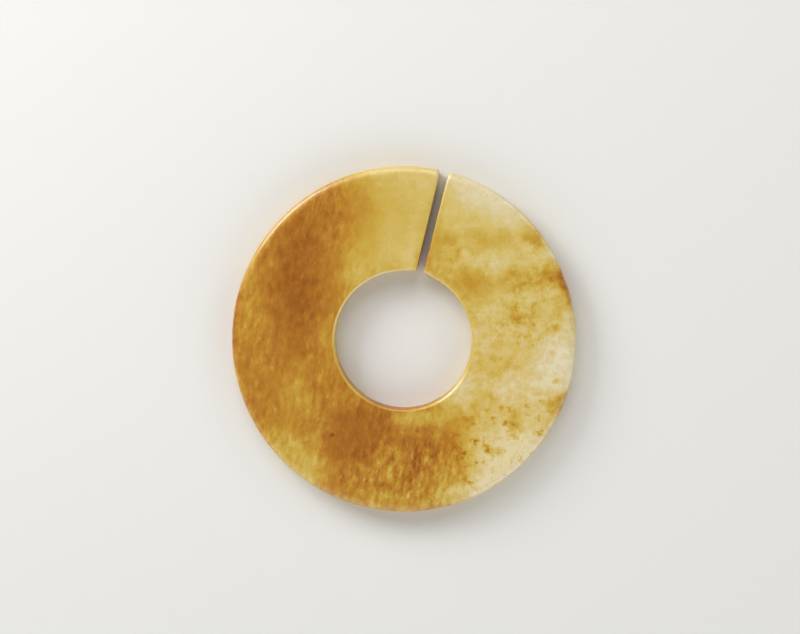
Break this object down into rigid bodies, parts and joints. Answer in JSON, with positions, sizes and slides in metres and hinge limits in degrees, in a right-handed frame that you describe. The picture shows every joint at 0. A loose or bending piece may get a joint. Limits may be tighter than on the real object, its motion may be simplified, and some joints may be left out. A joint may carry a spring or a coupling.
{
  "type": "jade slit disc",
  "caption": "Flat ring of polished, russet-stained jade with a round central hole and a narrow slit sawn from the hole to the rim; worn as an ear or dress ornament.",
  "frame": {"origin": "middle of the disc, on the surface it lies on", "axes": "+Z out of the front face, +Y along the slit, from the hole to the rim"},
  "size_m": [0.07, 0.0704, 0.005],
  "materials": {
    "jade": "hand-polished nephrite, honey yellow with cream and russet stains"
  },
  "bodies": {
    "root": {"slit_disc": "jade"}
  },
  "joints": []
}
